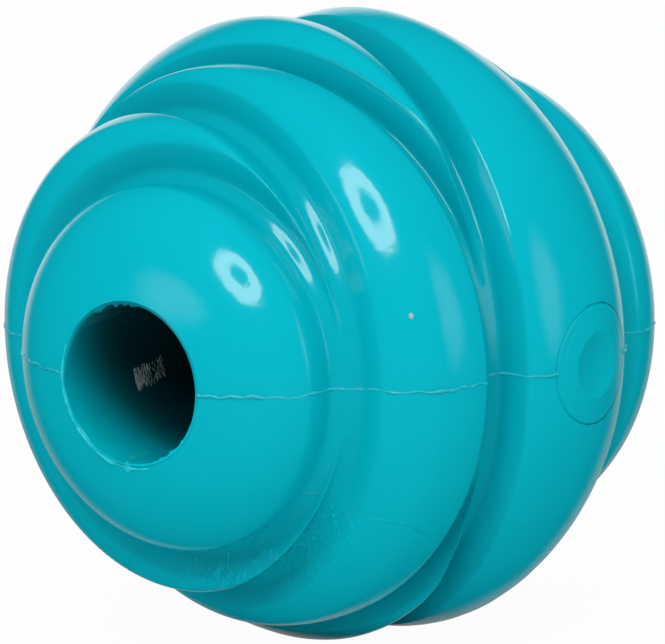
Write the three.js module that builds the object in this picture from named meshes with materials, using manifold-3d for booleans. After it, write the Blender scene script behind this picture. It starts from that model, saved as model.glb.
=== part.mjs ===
// Floating dog ball: two grooved half shells bonded round a foam core, with a sleeved bore and a vent plug.
// Millimetres, +Z up. The origin is the ball's centre, the bore runs along Y and the halves meet at z = 0.
import * as THREE from 'three';
import { mergeVertices } from 'three/addons/utils/BufferGeometryUtils.js';
import Module from 'manifold-3d';

// Ball and its bands
const crownRadius = 35;
const capRise = 0.5;
const crescentRise = 0.2;
const narrowBandSink = 0.9;
const beltBandSink = 0.4;

// Grooves. Each is a circle on the ball, given by the polar angles from -Y at which it crosses the seam plane
// on the right (+X) and on the left, and by half of its width between its corners.
const capGroove = { right: 37.6, left: 41.3, halfWidth: 2.8 };
const crescentGroove = { right: 40.5, left: 68.1, halfWidth: 2.9 };
const narrowGroove = { right: 68.9, left: 70.7, halfWidth: 2.1 };
const middleGroove = { right: 70.4, left: 180 - 70.4, halfWidth: 2.25 };
const floorShare = 0.35;
const floorCurve = 4;

// Depth of the grooves, drop of their corners below the crown and length over which a band rounds off from
// there, by the caps and by the belt
const capShoulder = { depth: 4.6, cornerDrop: 2.2, rounding: 3.8 };
const beltShoulder = { depth: 5.35, cornerDrop: 2.1, rounding: 4.8 };
const cornerSoftness = 0.25;
const floorSoftness = 0.5;
const ridgeSoftness = 0.3;

// Shell, bond and core
const grooveWall = 3;
const fitClearance = 0.3;
const bondThickness = 0.3;
const flashHeight = 0.25;

// Bore sleeve
const boreDiameter = 16;
const sleeveWall = 1.6;
const lipWall = 0.5;
const lipHeight = 0.25;

// Vent plug
const plugHeadDiameter = 12.6;
const plugHeadThickness = 2.6;
const plugStemDiameter = 5;
const plugBarbHeight = 0.7;
const plugBarbLength = 1.6;
const plugDishDiameter = 7;
const plugDishDepth = 0.7;

// Facets
const capRows = 6;
const bandRows = 4;
const shellColumns = 32;
const coreRows = 12;
const coreColumns = 24;
const sleeveSides = 48;
const plugSides = 32;
const plugRings = 4;
const solvePasses = 12;

const degrees = THREE.MathUtils.degToRad;
const wasm = await Module();
wasm.setup();

// Sizes that follow from the driving ones
const boreRadius = boreDiameter / 2;
const lipRadius = boreRadius + lipWall;
const mouthRadius = lipRadius + fitClearance;
const sleeveRadius = boreRadius + sleeveWall;
const channelRadius = sleeveRadius + fitClearance;
const cavityRadius = crownRadius - Math.max(capShoulder.depth, beltShoulder.depth) - grooveWall;
const coreRadius = cavityRadius - fitClearance;
const cavityEnd = Math.sqrt(cavityRadius ** 2 - channelRadius ** 2);
const coreEnd = Math.sqrt(coreRadius ** 2 - channelRadius ** 2);
const sleeveBodyEnd = cavityEnd - fitClearance;
const beltRadius = crownRadius - beltBandSink;

// Axis, opening angle and width of a groove's circle. Neighbours nearly share a crossing, so every second
// band is a crescent. The rear grooves are the front ones after half a turn about Z.
function circle({ right, left, halfWidth }) {
  const tilt = degrees((left - right) / 2);
  return {
    axis: new THREE.Vector3(-Math.sin(tilt), -Math.cos(tilt), 0),
    opening: degrees((left + right) / 2),
    corner: halfWidth,
    floor: halfWidth * floorShare,
  };
}

const frontGrooves = [capGroove, crescentGroove, narrowGroove];
const rearGrooves = frontGrooves.toReversed().map(({ right, left, halfWidth }) => (
  { right: 180 - left, left: 180 - right, halfWidth }
));
const grooves = [...frontGrooves, middleGroove, ...rearGrooves].map(circle);

// How far each band's crown lies below the ball's, from the front cap to the rear one
const frontSinks = [-capRise, -crescentRise, narrowBandSink, beltBandSink];
const bandSinks = [...frontSinks, ...frontSinks.toReversed()];

// Groove depth, corner drop and rounding at a polar angle, blended between the cap's and the belt's
function shoulderAt(polar) {
  const fromMouth = THREE.MathUtils.radToDeg(Math.min(polar, Math.PI - polar));
  const span = narrowGroove.right - capGroove.right;
  const share = THREE.MathUtils.clamp((fromMouth - capGroove.right) / span, 0, 1);
  const blend = (size) => THREE.MathUtils.lerp(capShoulder[size], beltShoulder[size], share);
  return { depth: blend('depth'), cornerDrop: blend('cornerDrop'), rounding: blend('rounding') };
}

// Larger of two values, with a rounded turn where they meet
function softMax(first, second, softness) {
  const meeting = Math.max(softness - Math.abs(first - second), 0) / softness;
  return Math.max(first, second) + (meeting ** 2 * softness) / 4;
}

function softMin(first, second, softness) {
  return -softMax(-first, -second, softness);
}

// Radius of the outer skin in a direction: a hollow floor in the grooves, a straight wall and a rounded
// shoulder
function skinRadius(polar, azimuth) {
  const direction = new THREE.Vector3(
    Math.sin(polar) * Math.cos(azimuth),
    -Math.cos(polar),
    Math.sin(polar) * Math.sin(azimuth),
  );
  const { depth, cornerDrop, rounding } = shoulderAt(polar);
  let drop = 0;
  let band = 0;
  for (const { axis, opening, corner, floor } of grooves) {
    const offset = (direction.angleTo(axis) - opening) * crownRadius;
    const inside = corner - Math.abs(offset);
    const wall = cornerDrop + ((depth - cornerDrop) * inside) / (corner - floor);
    const shoulder = cornerDrop * Math.exp(inside / rounding);
    const bed = depth - Math.min(Math.abs(offset), corner) ** 2 / (2 * floorCurve);
    const grooveDrop = softMin(softMax(wall, shoulder, cornerSoftness), bed, floorSoftness);
    drop = softMax(drop, grooveDrop, ridgeSoftness);
    band += offset > 0 ? 1 : 0;
  }
  const floorRadius = crownRadius - depth;
  const crown = crownRadius - bandSinks[band];
  return floorRadius + (crown - floorRadius) * (1 - Math.min(drop / depth, 1));
}

// Polar angle at which the skin meets the mouth's seat
function mouthAngle(azimuth, side) {
  let polar = Math.asin(mouthRadius / crownRadius);
  for (let pass = 0; pass < solvePasses; pass += 1) {
    const radius = skinRadius(side > 0 ? Math.PI - polar : polar, azimuth);
    polar = Math.asin(mouthRadius / radius);
  }
  return side > 0 ? Math.PI - polar : polar;
}

// Polar angle at which a groove's centre line crosses a meridian
function grooveCrossing({ axis, opening }, azimuth) {
  const across = axis.x * Math.cos(azimuth);
  const along = -axis.y;
  return Math.atan2(across, along) + Math.acos(Math.cos(opening) / Math.hypot(across, along));
}

// Polar angles of one band's rows between two grooves: floor, corner, crown, corner and floor.
// Where a crescent has run out, the floor is unbroken and all its rows meet in one point.
function bandAngles(start, end, startGroove, endGroove) {
  const half = (end - start) / 2;
  const [first, last] = [startGroove, endGroove].map(({ floor, corner }) => {
    const runOut = half * crownRadius < floor;
    return runOut ? [half, half] : [floor / crownRadius, Math.min(corner / crownRadius, half)];
  });
  const angles = [start + first[0]];
  for (let row = 0; row <= bandRows; row += 1) {
    angles.push(THREE.MathUtils.lerp(start + first[1], end - last[1], row / bandRows));
  }
  angles.push(end - last[0]);
  return angles;
}

// Polar angles of a cap's rows, from its mouth to the corner and floor of its groove
function capAngles(mouth, crossing, { floor, corner }) {
  const outward = Math.sign(crossing - mouth) / crownRadius;
  const angles = [];
  for (let row = 0; row <= capRows; row += 1) {
    angles.push(THREE.MathUtils.lerp(mouth, crossing - outward * corner, row / capRows));
  }
  angles.push(crossing - outward * floor);
  return angles;
}

// Skin outline along one meridian from mouth to mouth, with rows that follow the grooves
function skinOutline(azimuth, raise = 0) {
  const crossings = grooves.map((each) => grooveCrossing(each, azimuth));
  const angles = capAngles(mouthAngle(azimuth, -1), crossings[0], grooves[0]);
  for (let band = 1; band < crossings.length; band += 1) {
    angles.push(...bandAngles(crossings[band - 1], crossings[band], grooves[band - 1], grooves[band]));
  }
  angles.push(...capAngles(mouthAngle(azimuth, 1), crossings.at(-1), grooves.at(-1)).reverse());
  return angles.map((polar) => {
    const radius = skinRadius(polar, azimuth) + raise;
    return new THREE.Vector2(radius * Math.sin(polar), -radius * Math.cos(polar));
  });
}

// Arc about the ball's centre, from the rear end to the front one, in the radius and Y plane
function innerArc(radius, end) {
  const start = Math.atan2(end, channelRadius);
  const arc = [];
  for (let row = 0; row <= coreRows; row += 1) {
    const angle = THREE.MathUtils.lerp(start, -start, row / coreRows);
    arc.push(new THREE.Vector2(radius * Math.cos(angle), radius * Math.sin(angle)));
  }
  return arc;
}

// Closed section of the shell at one meridian: skin, rear mouth seat, cavity and front mouth seat
function shellSection(azimuth, raise = 0) {
  return [
    ...skinOutline(azimuth, raise),
    new THREE.Vector2(mouthRadius, cavityEnd),
    ...innerArc(cavityRadius, cavityEnd),
    new THREE.Vector2(mouthRadius, -cavityEnd),
  ];
}

// Welded geometry without empty triangles, wound so that its faces point out
function welded(source) {
  const geometry = source.clone();
  geometry.deleteAttribute('normal');
  geometry.deleteAttribute('uv');
  const merged = mergeVertices(geometry);
  const position = merged.getAttribute('position');
  const corners = [new THREE.Vector3(), new THREE.Vector3(), new THREE.Vector3()];
  const triangles = [];
  let volume = 0;
  for (let start = 0; start < merged.index.count; start += 3) {
    const triangle = [0, 1, 2].map((corner) => merged.index.getX(start + corner));
    if (new Set(triangle).size === 3) {
      triangles.push(triangle);
      triangle.forEach((vertex, corner) => corners[corner].fromBufferAttribute(position, vertex));
      volume += corners[0].dot(corners[1].cross(corners[2]));
    }
  }
  merged.setIndex((volume < 0 ? triangles.map((triangle) => triangle.reverse()) : triangles).flat());
  return merged;
}

function solidOf(source) {
  const geometry = welded(source);
  return new wasm.Manifold(new wasm.Mesh({
    numProp: 3,
    vertProperties: new Float32Array(geometry.getAttribute('position').array),
    triVerts: new Uint32Array(geometry.index.array),
  }));
}

function geometryOf(solid) {
  const { vertProperties, triVerts } = solid.getMesh();
  const geometry = new THREE.BufferGeometry();
  geometry.setAttribute('position', new THREE.BufferAttribute(new Float32Array(vertProperties), 3));
  geometry.setIndex(new THREE.BufferAttribute(new Uint32Array(triVerts), 1));
  geometry.computeVertexNormals();
  return geometry;
}

// Half turn about Y, above the seam plane, of a closed section that may change from meridian to meridian
function halfTurn(sectionAt, columns) {
  const positions = [];
  const index = [];
  const sections = [];
  for (let column = 0; column <= columns; column += 1) {
    const azimuth = Math.PI * (column / columns);
    const section = sectionAt(azimuth);
    sections.push(section);
    for (const point of section) {
      positions.push(point.x * Math.cos(azimuth), point.y, point.x * Math.sin(azimuth));
    }
  }
  const count = sections[0].length;
  for (let column = 0; column < columns; column += 1) {
    for (let point = 0; point < count; point += 1) {
      const near = column * count + point;
      const ahead = column * count + ((point + 1) % count);
      index.push(near, near + count, ahead, ahead, near + count, ahead + count);
    }
  }
  for (const [a, b, c] of THREE.ShapeUtils.triangulateShape(sections[0], [])) {
    index.push(a, b, c);
  }
  const offset = columns * count;
  for (const [a, b, c] of THREE.ShapeUtils.triangulateShape(sections[columns], [])) {
    index.push(offset + a, offset + c, offset + b);
  }
  const geometry = new THREE.BufferGeometry();
  geometry.setAttribute('position', new THREE.Float32BufferAttribute(positions, 3));
  geometry.setIndex(index);
  return geometry;
}

// The same half above or below the seam, moved clear of the bond film
function seated(geometry, side) {
  return geometry.clone().scale(1, 1, side).translate(0, 0, (side * bondThickness) / 2);
}

// Outline of the plug, or of its seat when grown by a clearance, as radius and distance from the centre
function plugOutline(grow) {
  const headRadius = plugHeadDiameter / 2 + grow;
  const stemRadius = plugStemDiameter / 2 + grow;
  const barbRadius = stemRadius + plugBarbHeight;
  const headBase = beltRadius - plugHeadThickness - grow;
  const barbTop = (cavityRadius + headBase + plugBarbLength) / 2 + grow;
  const barbBase = (cavityRadius + headBase - plugBarbLength) / 2 - grow;
  return { headRadius, stemRadius, barbRadius, headBase, barbTop, barbBase };
}

// Turned body of the plug up to its head, starting on the axis at the given depth
function plugBody(outline, innerEnd) {
  return [
    new THREE.Vector2(0, innerEnd),
    new THREE.Vector2(outline.stemRadius, innerEnd),
    new THREE.Vector2(outline.stemRadius, outline.barbBase),
    new THREE.Vector2(outline.barbRadius, outline.barbTop),
    new THREE.Vector2(outline.stemRadius, outline.barbTop),
    new THREE.Vector2(outline.stemRadius, outline.headBase),
    new THREE.Vector2(outline.headRadius, outline.headBase),
  ];
}

// Turns a plug outline about X, where the plug sits on the belt band
function turnedAboutX(outline) {
  return new THREE.LatheGeometry(outline, plugSides).rotateZ(-Math.PI / 2);
}

// Height of the plug's face above the seam's axis: flush with the band's skin, less the dish in its middle
function plugFaceHeight(y, z) {
  let height = beltRadius;
  for (let pass = 0; pass < solvePasses; pass += 1) {
    const polar = Math.acos(-y / Math.hypot(height, y, z));
    const radius = skinRadius(polar, Math.atan2(z, height));
    height = Math.sqrt(radius ** 2 - y ** 2 - z ** 2);
  }
  const share = Math.min(Math.hypot(y, z) / (plugDishDiameter / 2), 1);
  return height - plugDishDepth * (1 - share ** 2);
}

function ventPlug() {
  const outline = plugOutline(0);
  const dishRadius = plugDishDiameter / 2;
  const face = [];
  for (let ring = 0; ring < 2 * plugRings; ring += 1) {
    const [outer, inner] = ring < plugRings ? [outline.headRadius, dishRadius] : [dishRadius, 0];
    const radius = THREE.MathUtils.lerp(outer, inner, (ring % plugRings) / plugRings);
    face.push(new THREE.Vector2(radius, beltRadius));
  }
  face.push(new THREE.Vector2(0, beltRadius));
  const geometry = turnedAboutX([...plugBody(outline, cavityRadius), ...face]);
  const position = geometry.getAttribute('position');
  const middle = (outline.headBase + beltRadius) / 2;
  for (let vertex = 0; vertex < position.count; vertex += 1) {
    if (position.getX(vertex) > middle) {
      position.setX(vertex, plugFaceHeight(position.getY(vertex), position.getZ(vertex)));
    }
  }
  return welded(geometry);
}

function plugSeat() {
  const outline = plugOutline(fitClearance);
  const beyond = crownRadius + fitClearance;
  return solidOf(turnedAboutX([
    ...plugBody(outline, coreRadius - grooveWall),
    new THREE.Vector2(outline.headRadius, beyond),
    new THREE.Vector2(0, beyond),
  ]));
}

const seat = plugSeat();

function halfShell(side) {
  const half = solidOf(seated(halfTurn((azimuth) => shellSection(azimuth), shellColumns), side));
  return geometryOf(half.subtract(seat));
}

function coreHalf(side) {
  const section = innerArc(coreRadius, coreEnd).reverse();
  return welded(seated(halfTurn(() => section, coreColumns), side));
}

// Bond film over one side's seam section, with its squeezed-out edge standing proud of the skin
function bondFilm(azimuth) {
  const towards = Math.sign(Math.cos(azimuth));
  const section = shellSection(azimuth, flashHeight);
  const shape = new THREE.Shape(section.map((point) => new THREE.Vector2(towards * point.x, point.y)));
  const film = new THREE.ExtrudeGeometry(shape, { depth: bondThickness, bevelEnabled: false });
  return film.translate(0, 0, -bondThickness / 2);
}

// The plug parts the right-hand film into a front and a rear strip
function rightFilm(end) {
  const reach = 2 * crownRadius;
  const otherEnd = new THREE.BoxGeometry(2 * reach, reach, reach).translate(0, (-end * reach) / 2, 0);
  return geometryOf(solidOf(bondFilm(0)).subtract(seat).subtract(solidOf(otherEnd)));
}

// Liner tube with a thin lip at each end that stands a little proud of the skin at the mouth
function boreSleeve() {
  const lipEnd = mouthRadius / Math.tan(mouthAngle(0, -1)) + lipHeight;
  const outline = [
    new THREE.Vector2(boreRadius, -lipEnd),
    new THREE.Vector2(lipRadius, -lipEnd),
    new THREE.Vector2(lipRadius, -sleeveBodyEnd),
    new THREE.Vector2(sleeveRadius, -sleeveBodyEnd),
    new THREE.Vector2(sleeveRadius, sleeveBodyEnd),
    new THREE.Vector2(lipRadius, sleeveBodyEnd),
    new THREE.Vector2(lipRadius, lipEnd),
    new THREE.Vector2(boreRadius, lipEnd),
    new THREE.Vector2(boreRadius, -lipEnd),
  ];
  return welded(new THREE.LatheGeometry(outline, sleeveSides));
}

// Materials
const glossRubber = { color: 0x00a9b8, roughness: 0.25, metalness: 0 };
const boreRubber = { color: 0x009fae, roughness: 0.3, metalness: 0 };
const bondRubber = { color: 0x35bcc6, roughness: 0.4, metalness: 0 };
const paleFoam = { color: 0xe8ecea, roughness: 0.9, metalness: 0 };

const ball = new THREE.Group();

function add(name, geometry, finish) {
  const mesh = new THREE.Mesh(geometry, new THREE.MeshStandardMaterial(finish));
  mesh.name = name;
  ball.add(mesh);
}

add('upper_shell', halfShell(1), glossRubber);
add('lower_shell', halfShell(-1), glossRubber);
add('seam_bond_left', welded(bondFilm(Math.PI)), bondRubber);
add('seam_bond_right_front', rightFilm(-1), bondRubber);
add('seam_bond_right_rear', rightFilm(1), bondRubber);
add('bore_sleeve', boreSleeve(), boreRubber);
add('vent_plug', ventPlug(), glossRubber);
add('float_core_upper', coreHalf(1), paleFoam);
add('float_core_lower', coreHalf(-1), paleFoam);

export default ball;
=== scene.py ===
"""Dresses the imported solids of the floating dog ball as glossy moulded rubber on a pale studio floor."""
import logging
import math
from dataclasses import astuple, dataclass
from enum import Enum

import bpy
import numpy as np
from mathutils import Matrix, Vector


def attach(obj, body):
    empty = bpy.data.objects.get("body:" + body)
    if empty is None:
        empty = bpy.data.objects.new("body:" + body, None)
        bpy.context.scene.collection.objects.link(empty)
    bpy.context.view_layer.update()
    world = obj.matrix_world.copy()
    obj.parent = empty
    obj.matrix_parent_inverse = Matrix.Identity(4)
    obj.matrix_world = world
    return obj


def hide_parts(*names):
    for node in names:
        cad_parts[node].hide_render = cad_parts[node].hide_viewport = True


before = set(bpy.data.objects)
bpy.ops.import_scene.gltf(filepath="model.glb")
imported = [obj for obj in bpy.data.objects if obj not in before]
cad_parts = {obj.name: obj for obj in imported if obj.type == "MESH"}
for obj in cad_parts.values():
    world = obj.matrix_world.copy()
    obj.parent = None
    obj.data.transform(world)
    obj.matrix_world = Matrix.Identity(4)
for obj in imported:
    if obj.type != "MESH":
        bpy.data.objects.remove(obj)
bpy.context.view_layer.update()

LOG = logging.getLogger("dog_ball")
MM = 0.001
ROOT = "root"
ALONG_BORE = np.array([0.0, 1.0, 0.0])
ACROSS_BORE = np.array([1.0, 0.0, 0.0])
NEAR_BORE = 0.9
FACE_MIDDLE = (0.5, 0.5, 0.0)
FACE_RADIUS = 0.5
Colour = tuple[float, float, float]
Span = tuple[float, float]
Socket = bpy.types.NodeSocket
WHITE: Colour = (1.0, 1.0, 1.0)


class Side(Enum):
    """Which side of the seam plane a half lies on."""

    UPPER = 1
    LOWER = -1


class Slot(Enum):
    """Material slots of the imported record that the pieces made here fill."""

    GLOSS = "gloss_rubber"
    BORE = "bore_rubber"
    BOND = "bond_rubber"


def smoothstep(value: np.ndarray, low: float, high: float) -> np.ndarray:
    """Eases values from 0 at low to 1 at high."""
    share = np.clip((value - low) / (high - low), 0.0, 1.0)
    return share * share * (3.0 - 2.0 * share)


def soft_max(first: np.ndarray, second: np.ndarray, softness: float) -> np.ndarray:
    """Larger of two values, with a rounded turn where they differ by less than the softness."""
    meeting = np.maximum(softness - np.abs(first - second), 0.0) / softness
    return np.maximum(first, second) + meeting**2 * softness / 4.0


def soft_min(first: np.ndarray, second: np.ndarray, softness: float) -> np.ndarray:
    """Smaller of two values, with a rounded turn where they differ by less than the softness."""
    return -soft_max(-first, -second, softness)


def unit(vectors: np.ndarray) -> np.ndarray:
    """Vectors brought to length 1."""
    return vectors / np.linalg.norm(vectors, axis=-1, keepdims=True)


def bore_ways(angle: np.ndarray) -> np.ndarray:
    """Unit vectors square to the bore, at angles in radians from +X towards +Z."""
    return np.stack([np.cos(angle), np.zeros_like(angle), np.sin(angle)], axis=-1)


def directions(polar: np.ndarray, azimuth: np.ndarray) -> np.ndarray:
    """Unit vectors from the ball's centre.

    Args:
        polar: Angles from the front mouth's axis, -Y, in radians.
        azimuth: Angles round the bore from +X towards +Z, in radians.

    Returns:
        Vectors with one more axis of length 3.
    """
    polar, azimuth = np.broadcast_arrays(polar, azimuth)
    across = np.sin(polar)
    return np.stack([across * np.cos(azimuth), -np.cos(polar), across * np.sin(azimuth)], axis=-1)


@dataclass(frozen=True)
class Groove:
    """Circle on the ball along which a groove runs.

    The right and left values are the polar angles, in degrees, at which it crosses the seam plane on the
    plug's side and on the other. The half width runs from its centre line to its corners, in millimetres.
    """

    right: float
    left: float
    half_width: float

    def turned(self) -> "Groove":
        """The same groove after half a turn about Z."""
        return Groove(180.0 - self.left, 180.0 - self.right, self.half_width)


@dataclass(frozen=True)
class Shoulder:
    """Groove depth, drop of the corners below the crown and length over which a band rounds off, in mm."""

    depth: float
    corner_drop: float
    rounding: float

    def towards(self, other: "Shoulder", share: np.ndarray) -> "Shoulder":
        """Shoulder at shares of the way to another one, with arrays as its sizes."""
        sizes = zip(astuple(self), astuple(other))
        return Shoulder(*(here + (there - here) * share for here, there in sizes))


@dataclass(frozen=True)
class BallShape:
    """Outer skin of the ball: rounded bands between circular grooves, in millimetres and degrees."""

    crown: float = 35.0
    cap_rise: float = 0.5
    crescent_rise: float = 0.2
    narrow_sink: float = 0.9
    belt_sink: float = 0.4
    front_grooves: tuple[Groove, ...] = (
        Groove(37.6, 41.3, 2.8),
        Groove(40.5, 68.1, 2.9),
        Groove(68.9, 70.7, 2.1),
    )
    middle_groove: Groove = Groove(70.4, 180.0 - 70.4, 2.25)
    floor_share: float = 0.35
    floor_curve: float = 4.0
    cap_shoulder: Shoulder = Shoulder(depth=4.6, corner_drop=2.2, rounding=3.8)
    belt_shoulder: Shoulder = Shoulder(depth=5.35, corner_drop=2.1, rounding=4.8)
    corner_softness: float = 0.25
    floor_softness: float = 0.5
    ridge_softness: float = 0.3
    mouth: float = 8.52
    cavity: float = 26.7
    channel: float = 9.9

    def grooves(self) -> list[Groove]:
        """All grooves from the front cap to the rear one."""
        rear = [groove.turned() for groove in reversed(self.front_grooves)]
        return [*self.front_grooves, self.middle_groove, *rear]

    def circles(self) -> tuple[np.ndarray, np.ndarray, np.ndarray]:
        """Axes, opening angles and half widths of the grooves' circles.

        Returns:
            Unit axes, one row each, opening angles in radians and half widths in millimetres.
        """
        grooves = self.grooves()
        pairs = np.radians([(groove.right, groove.left) for groove in grooves])
        tilt = (pairs[:, 1] - pairs[:, 0]) / 2.0
        axes = np.stack([-np.sin(tilt), -np.cos(tilt), np.zeros_like(tilt)], axis=-1)
        return axes, pairs.mean(axis=1), np.array([groove.half_width for groove in grooves])

    def sinks(self) -> np.ndarray:
        """How far each band's crown lies below the ball's, from front to rear."""
        half = [-self.cap_rise, -self.crescent_rise, self.narrow_sink, self.belt_sink]
        return np.array(half + half[::-1])

    def shoulder(self, polar: np.ndarray) -> Shoulder:
        """Shoulder at polar angles, blended between the cap's and the belt's.

        Args:
            polar: Angles from the front mouth's axis in radians.

        Returns:
            A shoulder whose sizes are arrays.
        """
        cap, _, belt = self.front_grooves
        from_mouth = np.degrees(np.minimum(polar, math.pi - polar))
        share = np.clip((from_mouth - cap.right) / (belt.right - cap.right), 0.0, 1.0)
        return self.cap_shoulder.towards(self.belt_shoulder, share)

    def radius(self, ways: np.ndarray) -> np.ndarray:
        """Distance of the skin from the ball's centre.

        Args:
            ways: Unit vectors, last axis 3.

        Returns:
            Radii in millimetres.
        """
        axes, openings, widths = self.circles()
        offsets = (np.arccos(np.clip(ways @ axes.T, -1.0, 1.0)) - openings) * self.crown
        shape = self.shoulder(np.arccos(np.clip(-ways[..., 1], -1.0, 1.0)))
        drop = np.zeros(ways.shape[:-1])
        for offset, width in zip(np.moveaxis(offsets, -1, 0), widths):
            inside = width - np.abs(offset)
            steepness = (shape.depth - shape.corner_drop) / (width * (1.0 - self.floor_share))
            wall = shape.corner_drop + steepness * inside
            rounded = shape.corner_drop * np.exp(inside / shape.rounding)
            bed = shape.depth - np.minimum(np.abs(offset), width) ** 2 / (2.0 * self.floor_curve)
            one = soft_min(soft_max(wall, rounded, self.corner_softness), bed, self.floor_softness)
            drop = soft_max(drop, one, self.ridge_softness)
        band = (offsets > 0.0).sum(axis=-1)
        crown = self.crown - self.sinks()[band]
        bottom = self.crown - shape.depth
        return bottom + (crown - bottom) * (1.0 - np.minimum(drop / shape.depth, 1.0))

    def on_skin(self, ways: np.ndarray) -> np.ndarray:
        """Points of the skin along unit vectors, in millimetres."""
        return ways * self.radius(ways)[..., None]

    def normals(self, points: np.ndarray, step: float = 0.06) -> np.ndarray:
        """Outward normals of the skin at points on it.

        Args:
            points: Points on the skin in millimetres, one row each.
            step: Distance over which slopes are taken, in millimetres.

        Returns:
            Unit normals, one row each.
        """
        size = np.linalg.norm(points, axis=1, keepdims=True)
        ways = points / size
        helper = np.where(np.abs(ways[:, 1:2]) < NEAR_BORE, ALONG_BORE, ACROSS_BORE)
        first = unit(np.cross(ways, helper))
        slope = np.zeros_like(ways)
        for tangent in (first, np.cross(ways, first)):
            turn = tangent * step / size
            rise = (self.radius(unit(ways + turn)) - self.radius(unit(ways - turn))) / (2.0 * step)
            slope += tangent * rise[:, None]
        return unit(ways - slope)

    def crossings(self, azimuth: np.ndarray) -> np.ndarray:
        """Polar angles at which the grooves' centre lines cross meridians.

        Args:
            azimuth: Meridians in radians.

        Returns:
            One row per groove and one column per meridian, in radians.
        """
        axes, openings, _ = self.circles()
        across = axes[:, :1] * np.cos(azimuth)
        along = np.broadcast_to(-axes[:, 1:2], across.shape)
        return np.arctan2(across, along) + np.arccos(np.cos(openings)[:, None] / np.hypot(across, along))

    def mouth_angle(self, azimuth: np.ndarray, passes: int = 12) -> np.ndarray:
        """Polar angles at which the skin meets the front mouth's seat.

        Args:
            azimuth: Meridians in radians.
            passes: Rounds of the search.

        Returns:
            Polar angles in radians.
        """
        polar = np.full_like(azimuth, math.asin(self.mouth / self.crown))
        for _ in range(passes):
            polar = np.arcsin(self.mouth / self.radius(directions(polar, azimuth)))
        return polar

    def mouth_on_seam(self) -> float:
        """Polar angle of the front mouth's edge in the seam plane, in radians."""
        return float(self.mouth_angle(np.array([0.0]))[0])


def add_object(name: str, data: bpy.types.ID) -> bpy.types.Object:
    """Adds an object to the scene.

    Args:
        name: Its name.
        data: Its mesh, lamp or camera.

    Returns:
        The linked object.
    """
    added = bpy.data.objects.new(name, data)
    bpy.context.scene.collection.objects.link(added)
    return added


@dataclass
class MeshDraft:
    """Points in millimetres and faces of one piece before it becomes a Blender object."""

    points: np.ndarray
    faces: list[tuple[int, ...]]

    def piece(self, name: str) -> bpy.types.Object:
        """Makes a smooth-shaded object of the draft.

        Args:
            name: Name of the piece.

        Returns:
            The linked object, in metres.
        """
        mesh = bpy.data.meshes.new(name)
        mesh.from_pydata((self.points * MM).tolist(), [], self.faces)
        mesh.validate()
        mesh.shade_smooth()
        return add_object(name, mesh)


def dress(piece: bpy.types.Object, material: bpy.types.Material, slot: Slot, *nodes: str) -> None:
    """Gives a piece its finish, its body and the solids that it stands for.

    Args:
        piece: The finished object.
        material: Its material.
        slot: The record's slot for its finish; not used.
        nodes: CAD nodes that it replaces, none for a surface mark.
    """
    piece.data.materials.append(material)
    if nodes:
        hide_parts(*nodes)
    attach(piece, ROOT)
    LOG.info("%s: %d faces, for %s", piece.name, len(piece.data.polygons), ", ".join(nodes) or "itself")


def opaque(colour: Colour) -> tuple[float, float, float, float]:
    """Colour with full alpha."""
    return (*colour, 1.0)


@dataclass
class NodeKit:
    """Short ways to add and join nodes in one tree."""

    tree: bpy.types.NodeTree

    def give(self, target: Socket, value: object) -> None:
        """Joins an output to an input, or sets the input to a plain value.

        Args:
            target: The input.
            value: An output, a number, a vector or a colour.
        """
        if isinstance(value, Socket):
            self.tree.links.new(value, target)
        else:
            target.default_value = value

    def add(self, kind: str, *values: object, **named: object) -> bpy.types.Node:
        """Adds a node, sets its properties and gives its inputs their values.

        Args:
            kind: Blender's type name of the node, after ShaderNode.
            values: Values of its first inputs, in order.
            named: Properties by name, or inputs by name with spaces as underscores.

        Returns:
            The new node.
        """
        node = self.tree.nodes.new(f"ShaderNode{kind}")
        for name, value in named.items():
            if hasattr(node, name):
                setattr(node, name, value)
            else:
                self.give(node.inputs[name.replace("_", " ")], value)
        for target, value in zip(node.inputs, values):
            self.give(target, value)
        return node

    def number(self, operation: str, *values: object) -> Socket:
        """Number worked out from outputs or plain numbers by one of Blender's operations."""
        return self.add("Math", *values, operation=operation).outputs["Value"]

    def ranged(self, value: Socket, start: float, end: float, low: float = 0.0, high: float = 1.0,
               easing: str = "SMOOTHSTEP") -> Socket:
        """Maps a number so that the start gives low and the end gives high, by one of Blender's easings."""
        return self.add("MapRange", value, start, end, low, high, interpolation_type=easing).outputs["Result"]

    def mixed(self, share: Socket, first: object, second: object) -> Socket:
        """Mixes two colours.

        Args:
            share: Share of the second colour.
            first: Output or plain colour at share 0.
            second: Output or plain colour at share 1.

        Returns:
            Output with the colour.
        """
        node = self.add("Mix", share, data_type="RGBA")
        targets = [target for target in node.inputs if target.type == "RGBA"]
        for target, colour in zip(targets, (first, second)):
            self.give(target, colour)
        return next(output for output in node.outputs if output.type == "RGBA")

    def scaled(self, colour: Socket, factor: Socket) -> Socket:
        """Colour made lighter or darker by a factor."""
        return self.add("VectorMath", colour, operation="SCALE", Scale=factor).outputs["Vector"]

    def noise(self, place: Socket, scale: float, **named: float) -> Socket:
        """Noise from 0 to 1 at a scale, with more of the node's inputs by name."""
        return self.add("TexNoise", Vector=place, Scale=scale, **named).outputs["Fac"]


def start_material(name: str) -> tuple[bpy.types.Material, NodeKit, bpy.types.Node, Socket]:
    """Starts a material.

    Args:
        name: Its name.

    Returns:
        The material, its nodes, its shader and the output with the object's coordinates.
    """
    material = bpy.data.materials.new(name)
    material.use_nodes = True
    kit = NodeKit(material.node_tree)
    return material, kit, material.node_tree.nodes["Principled BSDF"], kit.add("TexCoord").outputs["Object"]


@dataclass(frozen=True)
class WrinklePatch:
    """Round area of the skin, in metres, where the rubber flowed in fine wrinkles."""

    centre: tuple[float, float, float]
    radius: float


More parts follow.
